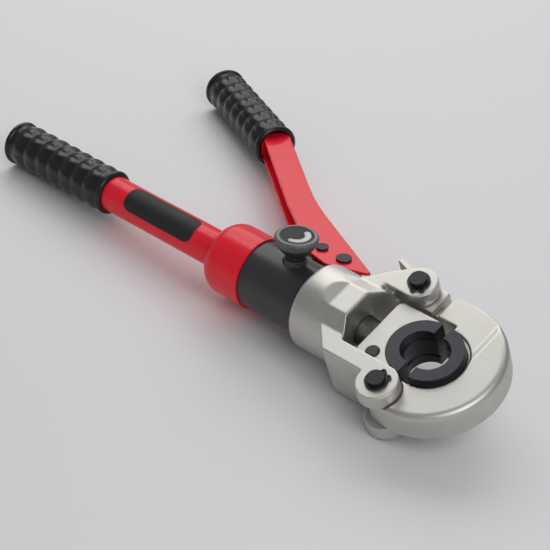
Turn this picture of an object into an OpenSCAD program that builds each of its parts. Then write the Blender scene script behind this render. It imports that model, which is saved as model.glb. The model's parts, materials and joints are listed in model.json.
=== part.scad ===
// Hand-pumped hydraulic press tool with a swivelling head and exchangeable dies.
// The tool axis runs along X towards the press head. The pump lever is on the +Y side and the
// release knob on +Z. The origin is the centre of the fixed die, on the tool axis.
// Places along the axis are given as distances behind that centre and end in _back.

/* [Dies] */
// Outer diameter of the die pair
die_od = 45.8; // [40:0.2:47]
// Bore of the die pair
die_bore = 27.6; // [16:0.2:32]
// Length of the dies along the pipe
die_w = 31.8; // [31:0.2:36]
// Opening between the die halves at rest
die_gap = 7.8; // [5:0.2:9]
// Width of the shallow ring grooves in the die bore
die_groove_w = 3; // [1:0.5:4]
// Depth of the ring grooves in the die bore
die_groove_t = 1; // [0.4:0.1:1.6]

/* [Press head] */
// Turn of the head about the tool axis at rest, in degrees
head_roll = 22; // [-90:1:90]
// Outer radius of the swing jaw
jaw_r = 50; // [46:0.5:54]
// Thickness of the swing jaw
jaw_t = 24; // [22:0.2:26]
// Rounding of the jaw's outer edges
jaw_edge = 4.5; // [2:0.5:6]
// Step down of each jaw face towards the latch
jaw_step = 1.5; // [0.5:0.1:2]
// Rear end of the jaw's latch leg, behind the die centre
jaw_leg_back = 18.5; // [16:0.5:19]
// Distance of the latch leg's inner face from the tool axis
jaw_leg_in = 29.5; // [29:0.5:31]
// Hinge pin, behind the die centre
hinge_back = 10.7; // [9:0.1:13]
// Hinge pin, distance from the tool axis
hinge_off = 39.4; // [38.6:0.1:41]
// Radius of the hinge ears
hinge_ear_r = 14.5; // [12:0.5:15]
// Latch pin, behind the die centre
latch_back = 40.6; // [40:0.1:43]
// Latch pin, distance from the tool axis
latch_off = 39.4; // [38.6:0.1:41]
// Radius of the latch ears
latch_ear_r = 13; // [12:0.5:14]
// Diameter of the hinge and latch pins
pin_d = 12; // [10:0.5:12]
// Thickness of each ear
ear_t = 11; // [9:0.2:12]

/* [Fork] */
// Diameter of the swivel collar
collar_d = 61.2; // [58:0.2:66]
// Rear face of the collar, behind the die centre
collar_back = 101.3; // [100:0.1:104]
// Height of the bridge between the arms
bridge_h = 56; // [50:0.5:58]
// Width of the flat on top of the bridge
bridge_flat = 22; // [18:0.5:24]
// Rear wall of the window, behind the die centre
window_back = 59; // [58:0.5:62]
// Width of the hinge arm
arm_w = 13.2; // [11:0.2:15]
// Inner face of the latch arm, distance from the tool axis
latch_arm_in = 26.5; // [25.5:0.5:28]

/* [Ram] */
// Width of the die block
block_w = 48; // [47.2:0.2:50]
// Height of the die block
block_t = 30; // [26:0.5:31]
// Length of the die block
block_len = 36.7; // [34:0.1:40]
// Diameter of the ram rod
rod_d = 21; // [18:0.5:24]
// Bore of the press cylinder
bore_d = 35; // [32:0.5:38]
// Length of the piston
piston_len = 13; // [11:0.5:16]
// How far the ram can still draw back from rest
ram_back = 9; // [8:0.5:9]
// Diameter of the die release button
button_d = 9; // [7:0.5:10]

/* [Pump body] */
// Diameter of the pump body
body_d = 49.6; // [48.6:0.1:51]
// Front rim of the reservoir bell, behind the die centre
bell_back = 154.4; // [153:0.2:160]
// Diameter of the swivel neck inside the collar
neck_d = 48; // [46:0.2:48.4]
// Lever pivot, behind the die centre
pivot_back = 120.6; // [118:0.2:124]
// Lever pivot, distance from the tool axis
pivot_off = 46; // [44:0.5:50]
// Diameter of the pump plunger
plunger_d = 12; // [10:0.5:13]
// Height of the release knob
knob_h = 16.6; // [15:0.2:20]
// Number of flutes round the knob's neck
knob_flutes = 18; // [12:1:20]
// Greatest diameter of the release knob
knob_d = 30.4; // [26:0.2:34]
// Release knob, behind the die centre
knob_back = 124.5; // [122:0.5:126]

/* [Reservoir handle] */
// Diameter of the handle tube
tube_d = 26.8; // [25:0.1:29]
// Wall of the handle tube
tube_wall = 2.2; // [1.5:0.1:3]
// Diameter of the bell
bell_d = 52.2; // [51.4:0.1:56]
// Length of the straight part of the bell
bell_len = 25; // [22:0.2:34]
// Radius of the bell's shoulder
shoulder_r = 13; // [10:0.5:20]
// Rear end of the handle tube, behind the die centre
tube_back = 405.5; // [390:0.5:440]

/* [Grips] */
// Length of each grip
grip_len = 106; // [90:1:130]
// Diameter over the grip bumps
grip_d = 33.4; // [32:0.2:36]
// Number of bump rows
grip_rows = 7; // [5:1:7]
// Spacing of the bump rows
grip_pitch = 13; // [11:0.5:14]
// Number of bumps around the grip
grip_bumps = 10; // [8:1:12]

/* [Lever] */
// Angle of the lever bar to the tool axis at rest, in degrees
lever_angle = 36.2; // [30:0.1:42]
// Height of the lever channel
lever_h = 17; // [15:0.5:19]
// Sheet thickness of the lever channel
lever_t = 2.2; // [1.8:0.1:2.6]
// Width of the lever bar
lever_w = 20.6; // [18:0.2:22]
// Distance of the bar's centre line from the pivot
lever_drop = 14.7; // [12:0.1:16]
// Length of the lever from the pivot to the grip
lever_len = 182; // [170:0.2:210]
// Bend of the grip back towards the handle, in degrees
grip_bend = 13.2; // [5:0.1:20]
// Distance between the pivot pin and the link pin
link_len = 20.3; // [18:0.1:22]
// Diameter of the lever pins
lever_pin_d = 7; // [6:0.5:8]

/* [Hidden] */
// Clearances and overrun of cuts
fit = 0.05;
run = 0.3;
slot_gap = 0.4;
cut = 2;
$fn = 96;

// Press head
die_r = die_od / 2;
jaw_h = jaw_t / 2;
tongue_t = 10;
tongue_h = tongue_t / 2;
eye_step = 1.8;
eye_h = jaw_h - eye_step;
slot_h = eye_h + slot_gap;
fork_h = slot_h + ear_t;
arm_gap = 1.2;
arm_in = block_w / 2 + arm_gap;
arm_out = arm_in + arm_w;
hinge_slot_r = hinge_ear_r + jaw_edge + jaw_step + run;
latch_slot_room = 4.5;
latch_slot_r = latch_ear_r + latch_slot_room;
pin_proud = 4.2;
ring_t = 1.4;
ring_w = 1.8;
ring_lug_r = 2;
ring_hole_d = 1.4;
eye_wall = 3.2;
jaw_eye_r = pin_d / 2 + eye_wall;
eye_recess_r = hinge_ear_r + 2 * slot_gap;
hinge_turn = atan(hinge_back / hinge_off);
seat_gap = 2.6;
seat_recess_r = die_r + seat_gap;
seat_recess_t = 3.2;
jaw_face_back = 2.4;
ramp_front = 20;
ramp_len = 4.5;
detent_d = 5;
detent_len = 13;
detent_tip = 1.2;

// Latch and the jaw's tongue
hook_reach = 16.4;
hook_front_back = latch_back - hook_reach;
hook_len = 4.1;
hook_lift = 1.3;
hook_in = latch_off + hook_lift;
tooth_len = 3.3;
tooth_lift = 4;
tooth_out = latch_off + tooth_lift;
tongue_drop = 7.8;
tongue_in = latch_off - tongue_drop;
tongue_gap = 0.3;
latch_h = slot_h - tongue_gap;
latch_hub_r = latch_ear_r - ring_t;
latch_low = 9.8;
latch_in = latch_off - latch_low;
latch_rise = 9.7;
latch_out = latch_off + latch_rise;
tab_t = 3.4;
tab_reach = 33.4;
tab_back = latch_back + tab_reach;
tab_rise = 18.3;
tab_out = latch_off + tab_rise;
tab_h = latch_h - jaw_step;
hook_gap = 1;
tooth_back = hook_front_back + hook_len + hook_gap;
tongue_back = tooth_back + tooth_len;
latch_spring_w = 1.6;
latch_spring_t = 3.6;
latch_spring_d = pin_d + 2 * (latch_spring_w + fit);

// Fork
collar_rim = 2.5;
bridge_side = 21.5;
slope_angle = atan2(bridge_h / 2 - fork_h, bridge_side - bridge_flat / 2);
slope_dist = bridge_flat / 2 * sin(slope_angle) + bridge_h / 2 * cos(slope_angle);
facet_back = 75;
facet_ramp = 9;
flare_back = 77;
flare_in = 20;
latch_flare_in = 22;
latch_knee_back = 64;
latch_knee_off = 36.5;
window_corner = 7;
neck_len = 17.3;
neck_front_back = collar_back - neck_len;
spring_pocket = 14;
spring_seat_back = neck_front_back - spring_pocket;

// Ram
block_back = die_gap + block_len;
block_round = 4;
spigot_d = 14;
spigot_len = 9;
spring_room = 15;
piston_front_back = neck_front_back + spring_room;
piston_back = piston_front_back + piston_len;
seal_t = 1.9;
seal_w = 3;
seal_back = piston_back - (piston_len - seal_w) / 2;
bore_back = piston_back + ram_back + slot_gap;
button_inset = 25.4;
button_back = die_gap + button_inset;
button_off = 18.7;
button_proud = 1.6;
button_len = 9;
button_travel = 1.5;
button_spring_len = 4;
block_chamfer = 4.5;

// Pump body
body_r = body_d / 2;
neck_r = neck_d / 2;
wire_r = 1.2;
wire_inset = 8;
wire_back = collar_back - wire_inset;
oring_r = 0.9;
oring_inset = 13;
oring_back = collar_back - oring_inset;
bell_wall = 3;
nose_d = bell_d - 2 * bell_wall;
nose_len = 17;
lug_h = lever_h / 2 - lever_t - run;
lug_r = 8;
plunger_back = pivot_back + link_len;
plunger_floor = -4;
plunger_stroke = link_len / 2;
gland_d = 18;
gland_proud = 0.2;
gland_out = body_r + gland_proud;
gland_len = 6;
valve_r = 2.4;
ball_r = 1.9;
port_r = 1;
seat_t = 2;
spring_wall = 0.8;
outlet_rear = plunger_back - plunger_d / 2 - seat_t;
outlet_plug_len = 1.5;
inlet_seat_back = plunger_back + plunger_d;
relief_top = plunger_d / 2 + seat_t;
screw_d = 8;
screw_len = 4;
screw_sink = 0.5;
screw_outer = body_r - screw_sink;
boss_d = 16.4;
boss_foot_d = 19;
boss_h = 9;
boss_proud = 2.7;
boss_top = body_r + boss_proud;
stem_d = 8;
stem_bite = 7.5;
stem_tip = boss_top - stem_bite;
stem_groove = 3.5;

// Release knob
knob_top = boss_top + run + knob_h;
knob_base_d = 15;
knob_rim = 4.6;
knob_neck = 6;
flute_r = 0.9;
flute_sink = 0.6;
flute_over = 1.5;
knob_skirt = knob_h - 2 * knob_rim;
disc_d = 22.4;
disc_t = 1;

// Handle and grips
tube_r = tube_d / 2;
tube_bore_r = tube_r - tube_wall;
bell_r = bell_d / 2;
shoulder_back = bell_back + bell_len;
plug_len = 12;
bladder_room = 6;
bladder_front_back = shoulder_back + shoulder_r + bladder_room;
grip_r = grip_d / 2;
grip_valley = 1.5;
grip_base_r = grip_r - grip_valley;
grip_end_t = 4;
grip_rim_r = 2.4;
grip_first = 14.8;
rows_len = grip_len - grip_first - grip_pitch / 2 - 2 * grip_rim_r;
row_count = min(grip_rows, 1 + floor(rows_len / grip_pitch));
groove_r = 4;
groove_sink = 0.3;
groove_over_share = 0.1;
groove_land = 0.25;
ridge_r = (pow(grip_pitch / 2, 2) + pow(grip_valley, 2)) / (2 * grip_valley);

// Lever outline, seen along Z with the pivot at zero and the bar pointing to -X
lever_hh = lever_h / 2;
bar_top = -lever_drop + lever_w / 2;
bar_low = -lever_drop - lever_w / 2;
tip_front = 19.5;
tip_low = 11.5;
throat_back = 105;
throat_r = 250;
flare = 10.9;
throat_steps = 5;
throat_front = -throat_back + throat_r * sin(flare);
throat_top = bar_top + throat_r * (1 - cos(flare));
tip_top = throat_top + (tip_front - throat_front) * tan(flare);
web_front = 6;
web_top = throat_top + (web_front - throat_front) * tan(flare);
flange_end_back = 80;
flange_low_back = 53;
flange_low = 23.6;
heel_back = 16.8;
link_x = -link_len * cos(lever_angle);
link_y = -link_len * sin(lever_angle);
tube_inset = 8;
lever_bore = 11;
bend_mitre = lever_w / 2 * tan(grip_bend / 2);
stub_len = tube_inset + cut;
stub_end = [-lever_len - stub_len * cos(grip_bend), -lever_drop - stub_len * sin(grip_bend)];
stub_side = [-sin(grip_bend), cos(grip_bend)] * lever_w / 2;
pivot_head_d = 11;
link_head_d = 9;
pin_head_t = 1.6;
link_slack = 0.45;
tang_h = 5;
tang_w = 15;
tang_len = 7;

steel = "#c9c6bc";
dark_steel = "#4b4b50";
black = "#2b2b2f";
red = "#d8222c";
rubber = "#1c1c1f";
oil_rubber = "#3a3a30";

// Shared forms

// Turns a profile drawn as (radius, distance along X) about the tool axis
module revolve_x() {
    rotate([0, 90, 0])
        mirror([1, 0, 0])
            rotate_extrude()
                children();
}

// Cylinder along X between two places behind the die centre
module bar_x(rear, front, d) {
    translate([-rear, 0, 0])
        rotate([0, 90, 0])
            cylinder(h = rear - front, d = d);
}

// Ring along X
module ring_x(rear, front, d, hole) {
    difference() {
        bar_x(rear, front, d);
        bar_x(rear + cut, front - cut, hole);
    }
}

// Plate of the given half height about the plane Z = 0
module plate(half) {
    translate([0, 0, -half])
        linear_extrude(2 * half)
            children();
}

// Places its children in the press head, turned about the tool axis
module in_head() {
    rotate([head_roll, 0, 0])
        children();
}

module at_hinge() {
    translate([-hinge_back, -hinge_off, 0])
        children();
}

module at_latch() {
    translate([-latch_back, latch_off, 0])
        children();
}

// Places its children on the lever, whose pivot is its own origin
module on_lever() {
    translate([-pivot_back, pivot_off, 0])
        rotate([0, 0, -lever_angle])
            children();
}

module at_link() {
    translate([link_x, link_y, 0])
        children();
}

// Box from the low corner to the high corner
module box(low, high) {
    translate(low)
        cube(high - low);
}

// Round pin along Z with a groove for a retaining ring near each end
module ringed_pin(length, d) {
    difference() {
        cylinder(h = length, d = d, center = true);
        for (side = [-1, 1])
            translate([0, 0, side * (fork_h + ring_t / 2)])
                difference() {
                    cylinder(h = ring_t, d = d + cut, center = true);
                    cylinder(h = ring_t + cut, d = d - ring_w, center = true);
                }
    }
}

// External retaining ring with two holed lugs at its gap
module circlip(d, gap_angle) {
    inner = d - ring_w + 2 * fit;
    outer = d + 2 * ring_w;
    lug_at = outer / 2;
    lug_angle = 22;
    linear_extrude(ring_t - 2 * fit)
        rotate(gap_angle)
            difference() {
                union() {
                    circle(d = outer);
                    for (side = [-1, 1])
                        rotate(side * lug_angle)
                            translate([lug_at, 0])
                                circle(ring_lug_r);
                }
                circle(d = inner);
                translate([0, -ring_hole_d / 2])
                    square([outer, ring_hole_d]);
                for (side = [-1, 1])
                    rotate(side * lug_angle)
                        translate([lug_at, 0])
                            circle(d = ring_hole_d, $fn = 24);
            }
}

module circlip_pair(d, gap_angle) {
    translate([0, 0, fork_h + fit])
        circlip(d, gap_angle);
    mirror([0, 0, 1])
        translate([0, 0, fork_h + fit])
            circlip(d, gap_angle);
}

// Profile of one grip with bump rows and rolled ends, front rim at zero, drawn towards -X
module grip_profile() {
    rear = -grip_len;
    difference() {
        union() {
            translate([0, rear + grip_rim_r])
                square([grip_base_r, grip_len - 2 * grip_rim_r]);
            translate([0, rear])
                square([grip_base_r - grip_rim_r, grip_len]);
            for (row = [0 : row_count - 1])
                intersection() {
                    translate([grip_r - ridge_r, rear + grip_first + row * grip_pitch])
                        circle(ridge_r);
                    translate([0, rear + grip_first + (row - 0.5) * grip_pitch])
                        square([grip_r, grip_pitch]);
                }
            for (end = [rear + grip_rim_r, -grip_rim_r])
                translate([grip_base_r - grip_rim_r + grip_valley, end])
                    circle(grip_rim_r);
        }
        translate([-cut, rear + grip_end_t])
            square([tube_r + fit + cut, grip_len]);
    }
}

// Rubber grip whose ridges are parted into bumps by long grooves
module grip() {
    groove_rear = -grip_len + grip_first - (1 + groove_over_share) * grip_pitch / 2;
    rows_front = groove_rear + (row_count + groove_over_share) * grip_pitch;
    groove_front = min(rows_front, -2 * grip_rim_r - groove_land);
    difference() {
        revolve_x()
            grip_profile();
        for (bump = [0 : grip_bumps - 1])
            rotate([bump * 360 / grip_bumps, 0, 0])
                translate([groove_rear, 0, grip_base_r + groove_r - groove_sink])
                    rotate([0, 90, 0])
                        cylinder(h = groove_front - groove_rear, r = groove_r);
    }
}

// Handle side

// Black pump and cylinder body with the lever lug, its bores and its valve chambers
module pump_body() {
    color(black)
        difference() {
            union() {
                bar_x(bell_back, collar_back + run, body_d);
                bar_x(collar_back + run, neck_front_back, neck_d);
                bar_x(bell_back + nose_len, bell_back, nose_d);
                pivot_lug();
                translate([-knob_back, 0, boss_top - boss_h])
                    cylinder(h = boss_h, d1 = boss_foot_d, d2 = boss_d);
            }
            bar_x(bore_back, neck_front_back - cut, bore_d);
            plunger_bore();
            valve_chambers();
            translate([-knob_back, 0, stem_tip])
                cylinder(h = knob_top, d = stem_d + 2 * fit);
            revolve_x() {
                translate([neck_r, -wire_back])
                    circle(wire_r + fit);
                translate([neck_r - 2 * oring_r, -oring_back - oring_r])
                    square([2 * oring_r + cut, 2 * oring_r]);
            }
        }
}

// Lug that carries the lever's pivot pin between the channel's flanges
module pivot_lug() {
    difference() {
        plate(lug_h) {
            translate([-pivot_back, pivot_off])
                circle(lug_r);
            translate([-pivot_back - lug_r, 0])
                square([2 * lug_r, pivot_off]);
        }
        translate([-pivot_back, pivot_off, 0])
            cylinder(h = lever_h, d = lever_pin_d + 2 * fit, center = true);
        bar_x(bell_back, neck_front_back, bore_d);
    }
}

module plunger_bore() {
    translate([-plunger_back, plunger_floor, 0])
        rotate([-90, 0, 0])
            cylinder(h = pivot_off, d = plunger_d + 2 * fit);
    translate([-plunger_back, gland_out - gland_len, 0])
        rotate([-90, 0, 0])
            cylinder(h = pivot_off, d = gland_d + 2 * fit);
}

// Inlet and outlet chambers on the tool axis and the relief chamber below
module valve_chambers() {
    bar_x(bell_back + nose_len + cut, plunger_back + plunger_d, 2 * valve_r);
    bar_x(plunger_back + plunger_d + cut, bore_back - cut, 2 * port_r);
    bar_x(outlet_rear, bore_back - cut, 2 * valve_r);
    translate([-plunger_back, 0, -body_r - cut])
        cylinder(h = body_r + cut - relief_top, d = screw_d + 2 * fit);
}

// Red handle: reservoir tube and bell in one drawn shell
module reservoir_handle() {
    color(red)
        revolve_x()
            difference() {
                handle_outline(0);
                handle_outline(tube_wall);
                translate([-cut, -bell_back - nose_len - cut])
                    square([nose_d / 2 + fit + cut, nose_len + 2 * cut]);
                translate([-cut, -tube_back - cut])
                    square([tube_bore_r + cut, tube_back - shoulder_back]);
            }
}

// Half outline of the handle, drawn in by a wall
module handle_outline(wall) {
    front = -bell_back;
    translate([0, -tube_back])
        square([tube_r - wall, tube_back - shoulder_back]);
    translate([0, -shoulder_back])
        square([bell_r - (wall > 0 ? bell_wall : 0), shoulder_back + front]);
    intersection() {
        translate([bell_r - shoulder_r, -shoulder_back])
            circle(shoulder_r - (wall > 0 ? bell_wall : 0));
        translate([0, -shoulder_back - shoulder_r])
            square([bell_r, shoulder_r + cut]);
    }
}

module handle_grip() {
    color(rubber)
        translate([-tube_back - grip_end_t - run + grip_len, 0, 0])
            grip();
}

// Screw plug that closes the reservoir tube under the grip
module handle_end_plug() {
    slot_w = 3;
    color(dark_steel)
        difference() {
            bar_x(tube_back, tube_back - plug_len, 2 * (tube_bore_r - fit));
            box([-tube_back - cut, -tube_r, -slot_w / 2], [-tube_back + slot_w, tube_r, slot_w / 2]);
        }
}

// Oil bladder that lies in the tube against the end plug
module oil_bladder() {
    r = tube_bore_r - run;
    rear = -tube_back + plug_len;
    front = -bladder_front_back;
    color(oil_rubber)
        revolve_x() {
            translate([0, rear + run])
                square([r, front - rear - r - run]);
            intersection() {
                translate([0, front - r])
                    circle(r);
                translate([0, front - r])
                    square([r, r]);
            }
        }
}

// Screen that keeps dirt out of the inlet valve
module intake_strainer() {
    rim = 1;
    color(dark_steel)
        union() {
            bar_x(bell_back + nose_len + rim, bell_back + nose_len, 4 * valve_r);
            ring_x(bell_back + nose_len, bell_back + nose_len - valve_r, 2 * (valve_r - fit), 2 * port_r);
        }
}

module inlet_ball() {
    color(steel)
        translate([-inlet_seat_back - ball_r - fit, 0, 0])
            sphere(ball_r);
}

// Plain sleeves stand for the small valve springs inside the body
module inlet_spring() {
    rear = bell_back + nose_len - valve_r - fit;
    color(steel)
        ring_x(rear, inlet_seat_back + 2 * ball_r + 2 * fit, 2 * (valve_r - fit), 2 * (valve_r - spring_wall));
}

module outlet_ball() {
    color(steel)
        translate([-outlet_rear + ball_r + fit, 0, 0])
            sphere(ball_r);
}

module outlet_spring() {
    rear = outlet_rear - 2 * ball_r - 2 * fit;
    color(steel)
        ring_x(rear, bore_back + outlet_plug_len + fit, 2 * (valve_r - fit), 2 * (valve_r - spring_wall));
}

module outlet_plug() {
    color(dark_steel)
        ring_x(bore_back + outlet_plug_len, bore_back, 2 * (valve_r - fit), 2 * port_r);
}

// Relief valve below the plunger: ball, spring and set screw
module relief_ball() {
    r = screw_d / 2 - fit;
    color(steel)
        translate([-plunger_back, 0, -relief_top - r - fit])
            sphere(r);
}

module relief_spring() {
    low = -screw_outer + screw_len + fit;
    high = -relief_top - screw_d;
    color(steel)
        translate([-plunger_back, 0, low])
            difference() {
                cylinder(h = high - low, d = screw_d - 2 * fit);
                translate([0, 0, -cut])
                    cylinder(h = high - low + 2 * cut, d = screw_d - 4 * spring_wall);
            }
}

module relief_screw() {
    key_d = 4;
    color(dark_steel)
        translate([-plunger_back, 0, -screw_outer])
            difference() {
                cylinder(h = screw_len, d = screw_d - 2 * fit);
                translate([0, 0, -cut])
                    cylinder(h = screw_len / 2 + cut, d = key_d, $fn = 6);
            }
}

// Threaded gland that guides the plunger and holds its seal
module plunger_gland() {
    color(dark_steel)
        translate([-plunger_back, gland_out - gland_len + fit, 0])
            rotate([-90, 0, 0])
                difference() {
                    cylinder(h = gland_len, d = gland_d);
                    translate([0, 0, -cut])
                        cylinder(h = gland_len + 2 * cut, d = plunger_d + 2 * fit);
                    translate([0, 0, -cut])
                        cylinder(h = seal_w + cut, d = plunger_d + 2 * seal_t);
                }
}

module plunger_seal() {
    color(rubber)
        translate([-plunger_back, gland_out - gland_len + 2 * fit, 0])
            rotate([-90, 0, 0])
                difference() {
                    cylinder(h = seal_w - 2 * fit, d = plunger_d + 2 * seal_t - 2 * fit);
                    translate([0, 0, -cut])
                        cylinder(h = seal_w + 2 * cut, d = plunger_d + 2 * fit);
                }
}

// Wire ring that holds the head on the neck and lets it swivel
module head_ring() {
    color(dark_steel)
        revolve_x()
            translate([neck_r, -wire_back])
                circle(wire_r);
}

module neck_seal() {
    color(rubber)
        revolve_x()
            translate([neck_r - oring_r, -oring_back])
                circle(oring_r - fit);
}

// Press head

// Cast fork: swivel collar that runs into a faceted bridge, and two arms with ears
module yoke() {
    color(steel)
        in_head()
            difference() {
                union() {
                    bridge();
                    plate(fork_h) {
                        hinge_arm();
                        latch_arm();
                    }
                }
                yoke_window();
                yoke_slots();
                yoke_bores();
            }
}

// Collar turned with a rounded rear rim, as far forward as the window
module collar() {
    r = collar_d / 2;
    revolve_x() {
        translate([0, -collar_back + collar_rim])
            square([r, collar_back - collar_rim - window_back + window_corner]);
        translate([0, -collar_back])
            square([r - collar_rim, collar_rim]);
        translate([r - collar_rim, -collar_back + collar_rim])
            circle(collar_rim);
    }
}

// Cut that leaves one flat of the bridge, with a ramp down from the collar
module bridge_flat_cut(turn, dist) {
    r = collar_d / 2;
    rotate([turn, 0, 0])
        rotate([90, 0, 0])
            linear_extrude(collar_d, center = true)
                polygon([
                    [-facet_back - facet_ramp, r],
                    [-facet_back, dist],
                    [0, dist],
                    [0, r + cut],
                    [-facet_back - facet_ramp, r + cut]
                ]);
}

// Collar with flats above and below and a sloping one beside each of them
module bridge() {
    difference() {
        collar();
        for (half = [0, 180]) {
            bridge_flat_cut(half, bridge_h / 2);
            for (side = [-1, 1])
                bridge_flat_cut(half + side * slope_angle, slope_dist);
        }
    }
}

module hinge_arm() {
    polygon([
        [-flare_back, 0],
        [-flare_back, -flare_in],
        [-window_back, -arm_out],
        [-hinge_back, -arm_out],
        [-hinge_back, -arm_in],
        [-window_back, 0]
    ]);
    translate([-hinge_back, -hinge_off])
        circle(hinge_ear_r);
}

module latch_arm() {
    lean = latch_ear_r * sqrt(0.5);
    polygon([
        [-flare_back, 0],
        [-flare_back, latch_flare_in],
        [-latch_knee_back, latch_knee_off],
        [-latch_back - lean, latch_off + lean],
        [-latch_back, latch_off],
        [-latch_back, latch_arm_in],
        [-window_back, latch_arm_in],
        [-window_back, 0]
    ]);
    translate([-latch_back, latch_off])
        circle(latch_ear_r);
}

// Open space between the arms in which the die block slides
module yoke_window() {
    high = bridge_h / 2 + cut;
    plate(high)
        polygon([
            [-window_back, -bridge_flat / 2],
            [-window_back + window_corner, -arm_in],
            [jaw_r, -arm_in],
            [jaw_r, latch_arm_in],
            [-window_back + window_corner, latch_arm_in],
            [-window_back, bridge_flat / 2]
        ]);
}

// Slots between the ears for the jaw's eye and for the latch
module yoke_slots() {
    plate(slot_h) {
        translate([-hinge_back, -hinge_off])
            circle(hinge_slot_r);
        translate([-hinge_back, -hinge_off - hinge_slot_r])
            square([2 * hinge_slot_r, 2 * hinge_slot_r]);
        translate([-latch_back, latch_off])
            circle(latch_slot_r);
        translate([-latch_back, latch_arm_in - cut])
            square([2 * latch_slot_r, 2 * latch_slot_r]);
    }
}

module yoke_bores() {
    bar_x(collar_back + cut, neck_front_back - run, neck_d + 2 * fit);
    bar_x(neck_front_back + cut, spring_seat_back, bore_d);
    bar_x(spring_seat_back + cut, window_back - window_corner - cut, rod_d + 2 * fit);
    revolve_x()
        translate([neck_r, -wire_back])
            circle(wire_r + fit);
    at_hinge()
        cylinder(h = 2 * fork_h + cut, d = pin_d + 2 * fit, center = true);
    at_latch()
        cylinder(h = 2 * fork_h + cut, d = pin_d + 2 * fit, center = true);
}

module hinge_pin() {
    color(dark_steel)
        in_head()
            at_hinge()
                ringed_pin(2 * (fork_h + pin_proud), pin_d);
}

module hinge_circlips() {
    gap_angle = 70;
    color(dark_steel)
        in_head()
            at_hinge()
                circlip_pair(pin_d, gap_angle);
}

module latch_pin() {
    color(dark_steel)
        in_head()
            at_latch()
                ringed_pin(2 * (fork_h + pin_proud), pin_d);
}

module latch_circlips() {
    gap_angle = -60;
    color(dark_steel)
        in_head()
            at_latch()
                circlip_pair(pin_d, gap_angle);
}

// Rounded section of the jaw, drawn as (distance from the axis, height)
module jaw_section(inner, half) {
    translate([inner, -half])
        square([jaw_r - jaw_edge - inner, 2 * half]);
    translate([inner, -half + jaw_edge])
        square([jaw_r - inner, 2 * (half - jaw_edge)]);
    for (side = [-1, 1])
        translate([jaw_r - jaw_edge, side * (half - jaw_edge)])
            circle(jaw_edge);
}

// Swing jaw: a C of rounded section with a hinge eye at one end and a hooked tongue at the other
module swing_jaw() {
    color(steel)
        in_head()
            difference() {
                union() {
                    rotate([0, 0, -90])
                        rotate_extrude(angle = 180)
                            jaw_section(die_r - cut, jaw_h);
                    jaw_hinge_leg();
                    jaw_latch_leg();
                    jaw_tongue();
                }
                cylinder(h = die_w, r = die_r + fit, center = true);
                jaw_recesses();
                jaw_face_steps();
                at_hinge()
                    cylinder(h = jaw_t + cut, d = pin_d + 2 * fit, center = true);
                bar_x(-die_r + cut, -die_r - detent_len, detent_d);
            }
}

// Faces lowered round the die's seat and for the yoke's hinge ears
module jaw_recesses() {
    for (side = [0, 1])
        mirror([0, 0, side]) {
            translate([0, 0, jaw_h - seat_recess_t])
                cylinder(h = seat_recess_t + cut, r = seat_recess_r);
            at_hinge()
                translate([0, 0, eye_h])
                    cylinder(h = eye_step + cut, r = eye_recess_r);
        }
}

module jaw_hinge_leg() {
    rotate([0, 0, -90 - hinge_turn])
        rotate_extrude(angle = hinge_turn)
            jaw_section(hinge_off, jaw_h);
    plate(jaw_h)
        difference() {
            union() {
                translate([-hinge_back, -hinge_off])
                    circle(jaw_eye_r);
                polygon([
                    [-hinge_back, -hinge_off],
                    [-hinge_back, -hinge_off + jaw_eye_r],
                    [0, -die_r],
                    [0, -jaw_r + jaw_edge],
                    [-hinge_back, -hinge_off - jaw_eye_r]
                ]);
            }
            translate([-hinge_back - hinge_slot_r, -arm_in])
                square([hinge_slot_r + hinge_back - jaw_face_back, arm_in]);
        }
}

module jaw_latch_leg() {
    translate([-jaw_leg_back, 0, 0])
        rotate([90, 0, 90])
            linear_extrude(jaw_leg_back)
                jaw_section(jaw_leg_in, jaw_h);
    plate(jaw_h)
        translate([-jaw_face_back, die_r - cut])
            square([jaw_face_back, jaw_leg_in + cut - die_r + cut]);
}

module jaw_tongue() {
    plate(tongue_h) {
        translate([-tongue_back, tongue_in])
            square([tongue_back - jaw_leg_back + cut, hook_in - tongue_gap - tongue_in]);
        translate([-tongue_back, tongue_in])
            square([tooth_len, tooth_out - tongue_in]);
    }
}

// Thinner faces of the latch half, with a short ramp up to the full thickness
module jaw_face_steps() {
    profile = [
        [-jaw_leg_back - cut, 0],
        [ramp_front, 0],
        [ramp_front + ramp_len, jaw_step],
        [ramp_front + ramp_len, jaw_step + cut],
        [-jaw_leg_back - cut, jaw_step + cut]
    ];
    for (side = [0, 1])
        mirror([0, 0, side])
            translate([0, jaw_r + cut, jaw_h - jaw_step])
                rotate([90, 0, 0])
                    linear_extrude(jaw_r)
                        polygon(profile);
}

// Half die about the pipe axis with ring grooves in its bore
module half_die() {
    difference() {
        rotate([0, 0, -90])
            rotate_extrude(angle = 180)
                difference() {
                    translate([die_bore / 2, -die_w / 2])
                        square([die_r - die_bore / 2, die_w]);
                    for (row = [-1, 1])
                        translate([die_bore / 2 - cut, row * die_w / 4 - die_groove_w / 2])
                            square([cut + die_groove_t, die_groove_w]);
                }
        rotate([0, 90, 0])
            translate([0, 0, die_r - detent_tip])
                cylinder(h = die_r, d = detent_d);
    }
}

module fixed_die() {
    color(dark_steel)
        in_head()
            half_die();
}

// Spring plunger that holds the fixed die in the jaw
module die_detent() {
    color(steel)
        in_head()
            bar_x(-die_r + detent_tip - fit, -die_r - detent_len + fit, detent_d - 2 * fit);
}

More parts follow.
